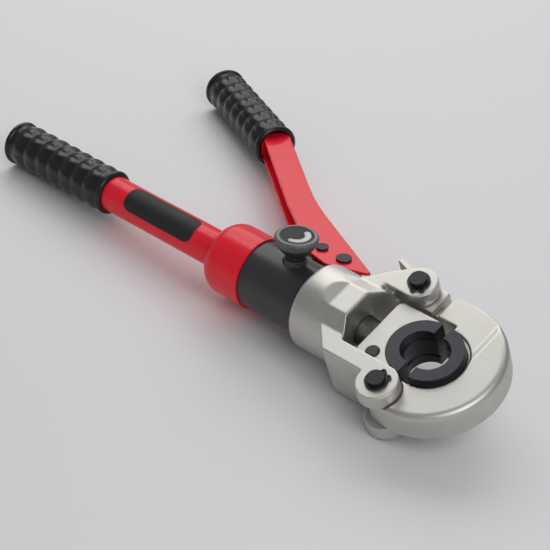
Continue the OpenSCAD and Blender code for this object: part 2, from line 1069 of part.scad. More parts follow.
// Latch with a hook over the tongue's tooth and a thumb tab
module latch() {
    color(steel)
        in_head()
            difference() {
                union() {
                    plate(latch_h) {
                        translate([-latch_back, latch_off])
                            circle(latch_hub_r);
                        translate([-latch_back, latch_in])
                            square([latch_back - hook_front_back, latch_out - latch_in]);
                    }
                    plate(tab_h)
                        latch_tab();
                }
                latch_slot();
                at_latch()
                    cylinder(h = 2 * latch_h + cut, d = pin_d + 2 * fit, center = true);
                at_latch()
                    translate([0, 0, latch_h - latch_spring_t])
                        cylinder(h = latch_spring_t + cut, d = latch_spring_d);
            }
}

module latch_tab() {
    polygon([
        [-latch_back, latch_out],
        [-latch_back - latch_hub_r / 2, latch_out + tab_t / 2],
        [-tab_back, tab_out],
        [-tab_back, tab_out - tab_t],
        [-latch_back - latch_hub_r, latch_out - tab_t / 2],
        [-latch_back, latch_off]
    ]);
}

// Room for the jaw's tongue, open at the front, with the hook left standing
module latch_slot() {
    plate(tongue_h + tongue_gap)
        difference() {
            polygon([
                [-hook_front_back + cut, latch_in - cut],
                [-hook_front_back + cut, latch_out + cut],
                [-tongue_back - tongue_gap, latch_out + cut],
                [-tongue_back - tongue_gap, latch_off],
                [-tongue_back - 2 * tab_t, latch_in - cut]
            ]);
            translate([-hook_front_back - hook_len, hook_in])
                square([hook_len, latch_out - hook_in]);
            translate([-tongue_back - tongue_gap, tooth_out + tongue_gap])
                square([tongue_back, latch_out - tooth_out - tongue_gap]);
        }
}

// Torsion spring round the latch pin, hidden in its pocket
module latch_spring() {
    color(steel)
        in_head()
            at_latch()
                translate([0, 0, latch_h - latch_spring_t + fit])
                    difference() {
                        cylinder(h = latch_spring_t - 2 * fit, d = latch_spring_d - 2 * fit);
                        translate([0, 0, -cut])
                            cylinder(h = latch_spring_t + 2 * cut, d = pin_d + 2 * fit);
                    }
}

// Ram and dies

// Ram: piston and rod turned in one piece
module ram() {
    color(dark_steel)
        difference() {
            union() {
                bar_x(piston_back, piston_front_back, bore_d - 2 * fit);
                bar_x(piston_front_back, block_back, rod_d);
                bar_x(block_back, block_back - spigot_len, spigot_d);
            }
            ring_x(seal_back, seal_back - seal_w, bore_d + cut, bore_d - 2 * seal_t);
        }
}

module piston_seal() {
    color(rubber)
        ring_x(seal_back - fit, seal_back - seal_w + fit, bore_d - 2 * fit, bore_d - 2 * seal_t + 2 * fit);
}

// Return spring round the rod, inside the cylinder and out of sight
module return_spring() {
    wall = 3;
    color(steel)
        ring_x(piston_front_back, spring_seat_back, rod_d + 2 * wall + 2 * run, rod_d + 2 * run);
}

// Block on the ram's end that carries the moving die
module die_block() {
    half = block_w / 2;
    color(steel)
        in_head()
            difference() {
                plate(block_t / 2)
                    union() {
                        polygon([
                            [-block_back + block_round, -half],
                            [-die_gap - block_chamfer, -half],
                            [-die_gap, -half + block_chamfer],
                            [-die_gap, half - block_chamfer],
                            [-die_gap - block_chamfer, half],
                            [-block_back + block_round, half]
                        ]);
                        translate([-block_back, -half + block_round])
                            square([block_len - block_chamfer, block_w - 2 * block_round]);
                        for (side = [-1, 1])
                            translate([-block_back + block_round, side * (half - block_round)])
                                circle(block_round);
                    }
                translate([-die_gap, 0, 0])
                    cylinder(h = die_w, r = die_r + fit, center = true);
                bar_x(block_back + cut, block_back - spigot_len - fit, spigot_d + 2 * fit);
                at_button()
                    translate([0, 0, -button_len - button_travel])
                        cylinder(h = button_len + button_travel + cut, d = button_d + 2 * fit);
            }
}

// Top of the die block over the release button
module at_button() {
    translate([-button_back, -button_off, block_t / 2])
        children();
}

module moving_die() {
    color(dark_steel)
        in_head()
            translate([-die_gap, 0, 0])
                mirror([1, 0, 0])
                    half_die();
}

// Black button in the block's top face that frees the moving die
module die_button() {
    dome = 0.8;
    color(black)
        in_head()
            at_button()
                union() {
                    translate([0, 0, -button_len + button_spring_len])
                        cylinder(h = button_len - button_spring_len + button_proud - dome, d = button_d);
                    translate([0, 0, button_proud - dome])
                        cylinder(h = dome, d1 = button_d, d2 = button_d - 2 * dome);
                }
}

module button_spring() {
    color(steel)
        in_head()
            at_button()
                translate([0, 0, -button_len - button_travel + fit])
                    difference() {
                        cylinder(h = button_spring_len + button_travel - 2 * fit, d = button_d - run);
                        translate([0, 0, -cut])
                            cylinder(h = button_len, d = button_d / 2);
                    }
}

// Lever side

// Hollow curve that leads from the flared front of the lever to its bar, drawn in by a wall
function lever_throat(wall) = [
    for (step = [throat_steps : -1 : 0])
        let (turn = flare * step / throat_steps)
            [-throat_back + throat_r * sin(turn), bar_top - wall + throat_r * (1 - cos(turn))]
];

// Side outline of the lever's flanges
module lever_outline() {
    polygon([
        [tip_front, tip_low],
        [tip_front, tip_top],
        each lever_throat(0),
        [-lever_len - bend_mitre, bar_top],
        stub_end + stub_side,
        stub_end - stub_side,
        [-lever_len + bend_mitre, bar_low],
        [-flange_end_back, bar_low],
        [-flange_low_back, -flange_low],
        [-heel_back, -flange_low],
        [lever_pin_d / 2, link_y - lever_t],
        [lug_r, -lug_r]
    ]);
}

// The same outline drawn in from its outer edge, which leaves the web
module lever_hollow() {
    polygon([
        [tip_front + cut, -flange_low],
        [tip_front + cut, tip_top + cut],
        [web_front, tip_top + cut],
        [web_front, web_top - lever_t],
        each lever_throat(lever_t),
        [-lever_len - cut, bar_top - lever_t],
        [-lever_len - cut, bar_low - cut],
        [-flange_low_back, -flange_low - lug_r],
        [tip_front, -flange_low - lug_r]
    ]);
}

// Pressed channel with flanges above and below and its web on the outer side
module lever() {
    color(red)
        on_lever()
            difference() {
                union() {
                    plate(lever_hh)
                        lever_outline();
                    on_grip()
                        rotate([0, -90, 0])
                            cylinder(h = grip_len - grip_end_t - run - tube_inset, d = tube_d);
                }
                plate(lever_hh - lever_t)
                    lever_hollow();
                on_grip()
                    rotate([0, -90, 0])
                        translate([0, 0, -tube_inset])
                            cylinder(h = grip_len, d = lever_bore);
                cylinder(h = lever_h + cut, d = lever_pin_d + 2 * fit, center = true);
                at_link()
                    cylinder(h = lever_h + cut, d = lever_pin_d + 2 * fit, center = true);
            }
}

// End of the lever bar where the grip starts
module on_grip() {
    translate([-lever_len, -lever_drop, 0])
        rotate([0, 0, grip_bend])
            translate([-tube_inset, 0, 0])
                children();
}

module lever_grip() {
    color(rubber)
        on_lever()
            on_grip()
                translate([tube_inset, 0, 0])
                    grip();
}

// Headed pin along Z through both flanges, with a groove for its clip
module lever_pin(head_d) {
    reach = lever_hh + run + 2 * ring_t;
    translate([0, 0, lever_hh])
        cylinder(h = pin_head_t, d = head_d);
    difference() {
        translate([0, 0, -reach])
            cylinder(h = reach + lever_hh, d = lever_pin_d);
        translate([0, 0, -lever_hh - ring_t])
            difference() {
                cylinder(h = ring_t, d = lever_pin_d + cut);
                translate([0, 0, -cut])
                    cylinder(h = ring_t + 2 * cut, d = lever_pin_d - ring_w);
            }
    }
}

// Snap ring under the lower flange
module lever_clip() {
    translate([0, 0, -lever_hh - ring_t + fit])
        circlip(lever_pin_d, 180);
}

module pivot_pin() {
    color(black)
        on_lever()
            lever_pin(pivot_head_d);
}

module pivot_clip() {
    color(black)
        on_lever()
            lever_clip();
}

module link_pin() {
    color(black)
        on_lever()
            at_link()
                lever_pin(link_head_d);
}

module link_clip() {
    color(black)
        on_lever()
            at_link()
                lever_clip();
}

// Pump plunger with a flat, slotted tang for the link pin
module pump_plunger() {
    slot_r = lever_pin_d / 2 + link_slack;
    slot_len = link_slack * 6;
    color(steel)
        translate([-plunger_back, pivot_off, 0])
            difference() {
                union() {
                    plate(tang_h)
                        translate([-slot_r - ring_t, -tang_len])
                            square([tang_w, 2 * tang_len]);
                    rotate([90, 0, 0])
                        cylinder(h = pivot_off - plunger_floor - plunger_stroke - run, d = plunger_d);
                }
                translate([-slot_r, -slot_r, -lever_h])
                    cube([2 * slot_r + slot_len, 2 * slot_r, 2 * lever_h]);
                for (side = [-1, 1])
                    mirror([0, 0, side > 0 ? 1 : 0])
                        box([-plunger_d, -tang_len, tang_h], [plunger_d, tang_len, lever_h]);
            }
}

// Release valve

// Mushroom knob with a round rim, a cone under it and a fluted neck
module release_knob() {
    r = knob_d / 2;
    rim_r = knob_rim / 2;
    base = boss_top + run;
    flute_len = knob_neck + flute_over + cut;
    color(black)
        translate([-knob_back, 0, 0])
            difference() {
                rotate_extrude() {
                    polygon([
                        [0, base],
                        [knob_base_d / 2, base],
                        [knob_base_d / 2, base + knob_neck],
                        [r - rim_r, knob_top - rim_r],
                        [r - rim_r, knob_top],
                        [0, knob_top]
                    ]);
                    translate([r - rim_r, knob_top - rim_r])
                        circle(rim_r);
                }
                for (flute = [0 : knob_flutes - 1])
                    rotate([0, 0, flute * 360 / knob_flutes])
                        translate([knob_base_d / 2 + flute_r - flute_sink, 0, base - cut])
                            cylinder(h = flute_len, r = flute_r);
                translate([0, 0, knob_top - disc_t])
                    cylinder(h = disc_t + cut, d = disc_d + 2 * fit);
                translate([0, 0, base - cut])
                    cylinder(h = knob_skirt + cut, d = stem_d + 2 * fit);
            }
}

// Black disc in the knob's top
module knob_disc() {
    color(rubber)
        translate([-knob_back, 0, knob_top - disc_t + fit])
            cylinder(h = disc_t - run, d = disc_d);
}

// Valve stem between the knob and the release seat
module valve_stem() {
    top = boss_top + run + knob_skirt - fit;
    tip = stem_d / 4;
    color(steel)
        translate([-knob_back, 0, stem_tip + fit])
            difference() {
                union() {
                    cylinder(h = tip, d1 = stem_d / 2, d2 = stem_d);
                    translate([0, 0, tip])
                        cylinder(h = top - stem_tip - fit - tip, d = stem_d);
                }
                translate([0, 0, stem_groove])
                    difference() {
                        cylinder(h = seal_t, d = stem_d + cut);
                        translate([0, 0, -cut])
                            cylinder(h = seal_t + 2 * cut, d = stem_d - seal_t);
                    }
            }
}

module stem_seal() {
    color(rubber)
        translate([-knob_back, 0, stem_tip + 2 * fit + stem_groove])
            difference() {
                cylinder(h = seal_t - 2 * fit, d = stem_d);
                translate([0, 0, -cut])
                    cylinder(h = seal_t + 2 * cut, d = stem_d - seal_t + 2 * fit);
            }
}

pump_body();
reservoir_handle();
handle_grip();
handle_end_plug();
oil_bladder();
intake_strainer();
inlet_ball();
inlet_spring();
outlet_ball();
outlet_spring();
outlet_plug();
relief_ball();
relief_spring();
relief_screw();
plunger_gland();
plunger_seal();
head_ring();
neck_seal();
yoke();
hinge_pin();
hinge_circlips();
latch_pin();
latch_circlips();
swing_jaw();
fixed_die();
die_detent();
latch();
latch_spring();
ram();
piston_seal();
return_spring();
die_block();
moving_die();
die_button();
button_spring();
lever();
lever_grip();
pivot_pin();
pivot_clip();
link_pin();
link_clip();
pump_plunger();
release_knob();
knob_disc();
valve_stem();
stem_seal();
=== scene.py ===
import json
import math

import bmesh
import bpy
from mathutils import Matrix, Vector


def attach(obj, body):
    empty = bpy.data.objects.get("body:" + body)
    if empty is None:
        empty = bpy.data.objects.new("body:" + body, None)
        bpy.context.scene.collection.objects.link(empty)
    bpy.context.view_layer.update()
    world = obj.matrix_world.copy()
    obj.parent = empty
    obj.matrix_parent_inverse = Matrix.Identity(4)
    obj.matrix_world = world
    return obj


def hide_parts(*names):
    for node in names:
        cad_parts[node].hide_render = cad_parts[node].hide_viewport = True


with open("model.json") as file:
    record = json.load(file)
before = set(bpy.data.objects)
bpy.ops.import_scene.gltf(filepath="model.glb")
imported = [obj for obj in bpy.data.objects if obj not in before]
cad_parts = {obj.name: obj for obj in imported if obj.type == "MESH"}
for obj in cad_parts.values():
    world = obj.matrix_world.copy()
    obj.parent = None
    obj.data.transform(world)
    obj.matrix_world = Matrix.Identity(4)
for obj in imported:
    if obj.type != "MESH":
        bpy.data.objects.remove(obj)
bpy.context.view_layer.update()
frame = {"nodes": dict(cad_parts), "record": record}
nodes = frame["nodes"]
MM = 0.001

# Sizes of the tool in metres, as in its solids
TUBE_R = 13.4 * MM
TUBE_BACK = 405.5 * MM
GRIP_R = 16.7 * MM
GRIP_LEN = 106 * MM
GRIP_END = 4.3 * MM
GRIP_ROWS = 7
GRIP_PITCH = 13 * MM
GRIP_FIRST = 14.8 * MM
GRIP_BUMPS = 10
GRIP_VALLEY = 1.5 * MM
GRIP_RIM = 2.4 * MM
PIVOT = Vector((-120.6 * MM, 46 * MM, 0))
LEVER_ANGLE = math.radians(-36.2)
GRIP_ANGLE = math.radians(-23)
GRIP_ON_LEVER = Vector((-182 * MM, -14.7 * MM, 0))
KNOB_X = -124.5 * MM
KNOB_TOP = 44.4 * MM
KNOB_R = 15.2 * MM
KNOB_BASE = 27.8 * MM
KNOB_NECK_R = 7.5 * MM
KNOB_RIM = 4.6 * MM
KNOB_FLUTES = 18
DISC_R = 11.2 * MM
DISC_TOP = KNOB_TOP - 0.25 * MM

# Small gap that keeps neighbouring surfaces apart
HAIR = 0.05 * MM

# Grip bumps: how far a row still stands between two of them, and the depth shown inside the front rim
ROW_BETWEEN_BUMPS = 0.35
GRIP_BORE_SHOWN = 6 * MM

# Knob as the photo shows it: short fluted neck, wide skirt as (radius, height) and ribs on the rim
KNOB_NECK = 2.2 * MM
KNOB_NECK_CUT = 0.4 * MM
KNOB_SKIRT = [(r * MM, z * MM) for r, z in (
    (8.0, 30.6), (9.0, 31.7), (10.2, 33.1), (11.5, 34.7), (12.6, 36.3), (13.6, 38.1), (14.5, 39.9))]
KNOB_FLUTE = 0.9 * MM
KNOB_RIB = 0.8 * MM
RIM_RIBS = 54
RIM_FROM, RIM_TO = -25, 90
RIBS_FULL_TO, RIBS_END = 15, 45
DISC_POCKET = 1 * MM

# Crescent on the knob's disc
ARROW_R = 7.6 * MM
ARROW_HALF = 2.3 * MM
ARROW_TAPER = 0.2
ARROW_START, ARROW_SWEEP = math.radians(84), math.radians(-178)
ARROW_HEIGHTS = (0.01 * MM, 0.06 * MM)

# Rounded end of the jaw's latch leg, in the head's own frame
HEAD_ROLL = math.radians(22)
JAW_CORNER = (-18.5 * MM, 50 * MM)
JAW_CORNER_R = 4.5 * MM

# Bare label on the handle tube, as places along the tube and angles round it
LABEL_X = (-282 * MM, -213 * MM)
LABEL_ANGLES = (math.radians(77), math.radians(170))
LABEL_CORNER = 7 * MM
LABEL_HEIGHTS = (0.02 * MM, 0.15 * MM)

# Worn-soft copies: welding distance and strength of one smoothing pass
WELD = 0.001 * MM
SMOOTHING = 0.5
CORNER_PASSES = 4

# Surfaces
COAT_ROUGH = 0.06
LEAST_ROUGH = 0.02
TONE_SPAN = (0.3, 0.7)
TONE_DETAIL = 4.0
GRAIN_DETAIL = 3.0
GRAIN_DEPTH = 0.1 * MM
EDGE_SAMPLES = 6


# Materials

def material(name, color, metallic, rough, tone=0.12, tone_scale=60.0, grain=0.0, grain_scale=1500.0,
             coat=0.0, rough_spread=0.08, edge=0.0, specular=0.5):
    """Principled surface with a soft tone and gloss variation, fine grain and rounded edges."""
    made = bpy.data.materials.new(name)
    made.use_nodes = True
    tree = made.node_tree
    shader = tree.nodes["Principled BSDF"]
    shader.inputs["Metallic"].default_value = metallic
    shader.inputs["Specular IOR Level"].default_value = specular
    shader.inputs["Coat Weight"].default_value = coat
    shader.inputs["Coat Roughness"].default_value = COAT_ROUGH
    place = tree.nodes.new("ShaderNodeTexCoord")
    cloud = tree.nodes.new("ShaderNodeTexNoise")
    cloud.inputs["Scale"].default_value = tone_scale
    cloud.inputs["Detail"].default_value = TONE_DETAIL
    tree.links.new(place.outputs["Object"], cloud.inputs["Vector"])
    ramp = tree.nodes.new("ShaderNodeValToRGB")
    dark, light = ramp.color_ramp.elements
    dark.position, light.position = TONE_SPAN
    dark.color = (*[c * (1 - tone) for c in color], 1)
    light.color = (*[min(1, c * (1 + tone)) for c in color], 1)
    tree.links.new(cloud.outputs["Fac"], ramp.inputs["Fac"])
    tree.links.new(ramp.outputs["Color"], shader.inputs["Base Color"])
    gloss = tree.nodes.new("ShaderNodeMapRange")
    gloss.inputs["To Min"].default_value = max(LEAST_ROUGH, rough - rough_spread)
    gloss.inputs["To Max"].default_value = rough + rough_spread
    tree.links.new(cloud.outputs["Fac"], gloss.inputs["Value"])
    tree.links.new(gloss.outputs["Result"], shader.inputs["Roughness"])
    normal = None
    if edge:
        rounded = tree.nodes.new("ShaderNodeBevel")
        rounded.samples = EDGE_SAMPLES
        rounded.inputs["Radius"].default_value = edge
        normal = rounded.outputs["Normal"]
    if grain:
        speck = tree.nodes.new("ShaderNodeTexNoise")
        speck.inputs["Scale"].default_value = grain_scale
        speck.inputs["Detail"].default_value = GRAIN_DETAIL
        tree.links.new(place.outputs["Object"], speck.inputs["Vector"])
        bump = tree.nodes.new("ShaderNodeBump")
        bump.inputs["Strength"].default_value = grain
        bump.inputs["Distance"].default_value = GRAIN_DEPTH
        tree.links.new(speck.outputs["Fac"], bump.inputs["Height"])
        if normal:
            tree.links.new(normal, bump.inputs["Normal"])
        normal = bump.outputs["Normal"]
    if normal:
        tree.links.new(normal, shader.inputs["Normal"])
    return made


MATERIALS = {
    "black_body": material("satin_black", (0.032, 0.032, 0.036), 0.0, 0.32, grain=0.15, edge=0.6 * MM),
    "red_paint": material("red_gloss", (0.9, 0.011, 0.03), 0.0, 0.3, tone=0.03, coat=0.25,
                          rough_spread=0.02, edge=0.5 * MM, specular=0.25),
    "grip_rubber": material("grip_rubber", (0.007, 0.007, 0.008), 0.0, 0.24, grain=0.04),
    "seal_rubber": material("seal_rubber", (0.02, 0.02, 0.02), 0.0, 0.5),
    "nickel_cast": material("nickel_cast", (0.60, 0.588, 0.548), 1.0, 0.45, tone=0.05, grain=0.35,
                            grain_scale=900.0, rough_spread=0.05),
    "die_steel": material("die_steel", (0.05, 0.05, 0.057), 0.7, 0.36, grain=0.08, edge=0.4 * MM),
    "black_oxide": material("black_oxide", (0.03, 0.03, 0.033), 0.6, 0.4, grain=0.1, edge=0.4 * MM),
    "bright_steel": material("bright_steel", (0.55, 0.55, 0.55), 1.0, 0.3, edge=0.3 * MM),
    "black_plastic": material("black_plastic", (0.03, 0.03, 0.033), 0.0, 0.42, grain=0.1),
    "knob_label": material("knob_label", (0.011, 0.011, 0.012), 0.0, 0.6),
}
RIM_GREY = material("knob_rim_grey", (0.17, 0.17, 0.175), 0.5, 0.35, grain=0.1)
# Dark satin steel: the ram's own colour, and painted shade on the pump plunger and its gland, darkened so
# they show no glint under the lever
RAM_STEEL_AND_PAINTED_SHADE = material("satin_steel_and_painted_shade", (0.13, 0.128, 0.12), 0.8, 0.4, edge=0.4 * MM)
PRINT_WHITE = material("print_white", (0.75, 0.75, 0.75), 0.0, 0.45, tone=0.04)


def dress(obj, slot):
    """Gives a piece the material of its record slot alone."""
    obj.data.materials.clear()
    obj.data.materials.append(MATERIALS[slot])


for part in frame["record"]["subparts"]:
    dress(nodes[part["node"]], part["material_slot"])
# The ram gets its own dark steel; on the pump plunger and gland the same dark steel is painted shade where
# they sit under the lever
for name in ("ram", "pump_plunger", "plunger_gland"):
    nodes[name].data.materials[0] = RAM_STEEL_AND_PAINTED_SHADE


# Shared makers

def new_piece(name, verts, faces, slot, body):
    """Smooth mesh piece in the row frame that rides on a body."""
    mesh = bpy.data.meshes.new(name)
    mesh.from_pydata([tuple(v) for v in verts], [], faces)
    mesh.polygons.foreach_set("use_smooth", [True] * len(mesh.polygons))
    obj = bpy.data.objects.new(name, mesh)
    bpy.context.scene.collection.objects.link(obj)
    dress(obj, slot)
    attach(obj, body)
    return obj


def tube_faces(rings, segments, first=0):
    """Faces between rings of vertices that close round."""
    made = []
    for ring in range(rings - 1):
        for k in range(segments):
            a = first + ring * segments + k
            b = first + ring * segments + (k + 1) % segments
            made.append((a, b, b + segments, a + segments))
    return made


def cap(first, segments, flip=False):
    """One face over a ring of vertices."""
    ring = tuple(range(first, first + segments))
    return ring[::-1] if flip else ring


# Cast and pressed pieces: the solid with its edges worn soft

def soften(node, name, slot, body, voxel, passes):
    """Finely meshed copy of a solid, smoothed so that its edges turn round."""
    welded = bmesh.new()
    welded.from_mesh(nodes[node].data)
    bmesh.ops.remove_doubles(welded, verts=welded.verts, dist=WELD)
    shell = bpy.data.meshes.new(name)
    welded.to_mesh(shell)
    welded.free()
    copy = bpy.data.objects.new(name, shell)
    bpy.context.scene.collection.objects.link(copy)
    remesh = copy.modifiers.new("remesh", "REMESH")
    remesh.mode = "VOXEL"
    remesh.voxel_size = voxel
    smooth = copy.modifiers.new("smooth", "SMOOTH")
    smooth.factor = SMOOTHING
    smooth.iterations = passes
    graph = bpy.context.evaluated_depsgraph_get()
    mesh = bpy.data.meshes.new_from_object(copy.evaluated_get(graph))
    copy.modifiers.clear()
    copy.data = mesh
    mesh.polygons.foreach_set("use_smooth", [True] * len(mesh.polygons))
    dress(copy, slot)
    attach(copy, body)
    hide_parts(node)
    return copy


def round_jaw_corner(jaw):
    """Rounds the outer corner of the jaw's latch leg over its whole height."""
    into = Matrix.Rotation(-HEAD_ROLL, 3, "X")
    back = Matrix.Rotation(HEAD_ROLL, 3, "X")
    middle = Vector((JAW_CORNER[0] + JAW_CORNER_R, JAW_CORNER[1] - JAW_CORNER_R))
    shape = bmesh.new()
    shape.from_mesh(jaw.data)
    moved = []
    for vert in shape.verts:
        place = into @ vert.co
        off = place.xy - middle
        if off.x < 0 < off.y and off.length > JAW_CORNER_R:
            near = middle + off * (JAW_CORNER_R / off.length)
            vert.co = back @ Vector((near.x, near.y, place.z))
            moved.append(vert)
    for _ in range(CORNER_PASSES):
        bmesh.ops.smooth_vert(
            shape, verts=moved, factor=SMOOTHING, use_axis_x=True, use_axis_y=True, use_axis_z=True)
    shape.to_mesh(jaw.data)
    shape.free()


# Grips

def dome(share):
    """Rounded swell over one repeat, zero at its ends."""
    return math.sin(math.pi * (share % 1.0))


def grip_radius(along, angle):
    """Radius of the grip at a distance from its rear end."""
    for end in (along, GRIP_LEN - along):
        if end < 2 * GRIP_RIM:
            return GRIP_R - GRIP_RIM + math.sqrt(max(0.0, GRIP_RIM ** 2 - (end - GRIP_RIM) ** 2))
    row = (along - GRIP_FIRST) / GRIP_PITCH + 0.5
    valley = GRIP_R - GRIP_VALLEY
    if not 0 < row < GRIP_ROWS:
        return valley
    bump = ROW_BETWEEN_BUMPS + (1 - ROW_BETWEEN_BUMPS) * dome(angle / (2 * math.pi) * GRIP_BUMPS)
    return valley + GRIP_VALLEY * dome(row) * bump


def make_grip(name, node, rear, heading, body):
    """Rubber grip with pillow bumps, closed at its rear end and open round the tube at its front."""
    segments = GRIP_BUMPS * 12
    rings = 180
    turn = Matrix.Rotation(heading, 3, "Z")
    bore = TUBE_R + HAIR
    outline = [GRIP_LEN * i / (rings - 1) for i in range(rings)]
    verts = []
    for along in outline:
        for k in range(segments):
            angle = 2 * math.pi * k / segments
            r = grip_radius(along, angle)
            verts.append(turn @ Vector((along, r * math.cos(angle), r * math.sin(angle))) + rear)
    for along in (GRIP_LEN, GRIP_LEN - GRIP_BORE_SHOWN):
        for k in range(segments):
            angle = 2 * math.pi * k / segments
            verts.append(turn @ Vector((along, bore * math.cos(angle), bore * math.sin(angle))) + rear)
    faces = tube_faces(rings + 2, segments)
    faces.append(cap(0, segments, True))
    faces.append(cap((rings + 1) * segments, segments))
    piece = new_piece(name, verts, faces, "grip_rubber", body)
    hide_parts(node)


# Release knob

def make_knob():
    """Mushroom knob: fluted neck and skirt, ribbed grey rim and a pocket for the disc."""
    segments = RIM_RIBS * 8
    rim = KNOB_RIM / 2
    rim_mid = KNOB_TOP - rim
    neck_steps, rim_steps = 4, 9
    profile = []
    for i in range(neck_steps + 1):
        profile.append((KNOB_NECK_R - KNOB_NECK_CUT, KNOB_BASE + KNOB_NECK * i / neck_steps, KNOB_FLUTE, 0))
    for r, z in KNOB_SKIRT:
        share = (r - KNOB_NECK_R) / (KNOB_R - KNOB_NECK_R)
        flute = KNOB_FLUTE * max(0.0, 1 - 1.6 * share)
        profile.append((r, z, flute, KNOB_RIB * max(0.0, 4 * share - 3)))
    grey_from = len(profile) - 2
    for i in range(rim_steps + 1):
        angle = RIM_FROM + (RIM_TO - RIM_FROM) * i / rim_steps
        rib = KNOB_RIB * max(0.0, min(1.0, (RIBS_END - angle) / (RIBS_END - RIBS_FULL_TO)))
        turn = math.radians(angle)
        profile.append((KNOB_R - rim + rim * math.cos(turn), rim_mid + rim * math.sin(turn), 0, rib))
    grey_to = len(profile)
    pocket_r = DISC_R + HAIR
    profile += [(pocket_r, KNOB_TOP, 0, 0), (pocket_r, KNOB_TOP - DISC_POCKET, 0, 0)]
    verts = []
    for r, z, flute, rib in profile:
        for k in range(segments):
            angle = 2 * math.pi * k / segments
            cut = flute * max(0.0, math.cos(KNOB_FLUTES * angle))
            cut += rib * (0.5 + 0.5 * math.cos(RIM_RIBS * angle))
            verts.append((KNOB_X + (r - cut) * math.cos(angle), (r - cut) * math.sin(angle), z))
    faces = tube_faces(len(profile), segments)
    faces += [cap(0, segments, True), cap((len(profile) - 1) * segments, segments)]
    piece = new_piece("knob_fluted", verts, faces, "black_plastic", "knob")
    piece.data.materials.append(RIM_GREY)
    for index in range(grey_from * segments, grey_to * segments):
        piece.data.polygons[index].material_index = 1
    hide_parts("release_knob")


def make_arrow():
    """Pale crescent with round ends on the knob's disc, narrower towards its tail."""
    steps = 48
    reach = abs(ARROW_SWEEP) * ARROW_R
    least = 0.02
    verts = []
    for height in ARROW_HEIGHTS:
        for i in range(steps + 1):
            share = 0.5 - 0.5 * math.cos(math.pi * i / steps)
            half = ARROW_HALF * (1 - ARROW_TAPER * share)
            near = min(share, 1 - share) * reach
            if near < half:
                half = math.sqrt(max((least * half) ** 2, half ** 2 - (half - near) ** 2))
            angle = ARROW_START + ARROW_SWEEP * share
            for r in (ARROW_R - half, ARROW_R + half):
                verts.append((KNOB_X + r * math.cos(angle), r * math.sin(angle), DISC_TOP + height))
    layer = 2 * (steps + 1)
    faces = []
    for i in range(steps):
        a = 2 * i
        faces.append((a, a + 1, a + 3, a + 2))
        faces.append((layer + a, layer + a + 2, layer + a + 3, layer + a + 1))
        faces.append((a, a + 2, layer + a + 2, layer + a))
        faces.append((a + 1, layer + a + 1, layer + a + 3, a + 3))
    last = 2 * steps
    faces += [(0, layer, layer + 1, 1), (last, last + 1, layer + last + 1, layer + last)]
    piece = new_piece("knob_arrow", verts, faces, "knob_label", "knob")
    piece.data.materials.clear()
    piece.data.materials.append(PRINT_WHITE)


# Bare label on the tube

def make_label():
    """Thin plate with round corners that hugs the tube."""
    columns, rows = 60, 24
    length = LABEL_X[1] - LABEL_X[0]
    middle = sum(LABEL_ANGLES) / 2
    half = (LABEL_ANGLES[1] - LABEL_ANGLES[0]) / 2 * TUBE_R
    verts = []
    for radius in [TUBE_R + height for height in LABEL_HEIGHTS]:
        for i in range(columns + 1):
            along = length * (0.5 - 0.5 * math.cos(math.pi * i / columns))
            into = max(0.0, LABEL_CORNER - min(along, length - along))
            reach = half - LABEL_CORNER + math.sqrt(max(0.0, LABEL_CORNER ** 2 - into ** 2))
            for j in range(rows + 1):
                angle = middle + reach * (2 * j / rows - 1) / TUBE_R
                verts.append((LABEL_X[0] + along, radius * math.cos(angle), radius * math.sin(angle)))
    layer = (columns + 1) * (rows + 1)
    faces = []
    for i in range(columns):
        for j in range(rows):
            a = i * (rows + 1) + j
            quad = (a, a + 1, a + rows + 2, a + rows + 1)
            faces.append(quad)
            faces.append(tuple(layer + q for q in reversed(quad)))
    border = list(range(rows + 1))
    border += [i * (rows + 1) + rows for i in range(1, columns + 1)]
    border += [columns * (rows + 1) + j for j in range(rows - 1, -1, -1)]
    border += [i * (rows + 1) for i in range(columns - 1, 0, -1)]
    for a, b in zip(border, border[1:] + border[:1]):
        faces.append((b, a, layer + a, layer + b))
    new_piece("handle_label", verts, faces, "knob_label", "pump")


# Studio

# Floor under the hinge pin and the rear ends of both grips, on which the tool lies
FLOOR_PITCH = math.radians(3.445)
FLOOR_ROLL = math.radians(0.681)
FLOOR_AT_ORIGIN = -41.3 * MM


FLOOR_HALF = 6.0
FADE_FROM, FADE_TO = 0.6, 1.5
FLOOR_COLOR = (0.8, 0.8, 0.81, 1)
BACKDROP = (0.6, 0.6, 0.61, 1)
SKY_COLOR = (0.9, 0.91, 0.93, 1)
SKY_STRENGTH = 0.3
LIT_POINT = Vector((-0.18, 0.03, 0.0))

# Lamps as name, place, width, height and power
LAMPS = (
    ("key", (-0.75, 0.85, 1.05), 1.5, 1.1, 9.2),
    ("strip", (-0.98, 0.13, 1.15), 0.35, 0.9, 1.5),
    ("fill", (0.9, -0.5, 0.9), 0.9, 0.9, 6.8),
)

# Camera: its place, and its right, down and ahead directions in the row frame
CAMERA_PLACE = (0.6511, -0.8787, 0.7321)
CAMERA_RIGHT = Vector((0.7212, 0.6912, 0.0487))
CAMERA_DOWN = Vector((0.3926, -0.3496, -0.8507))
CAMERA_AHEAD = Vector((-0.5710, 0.6325, -0.5234))
CAMERA_LENS = 133.3
CAMERA_SENSOR = 36.0


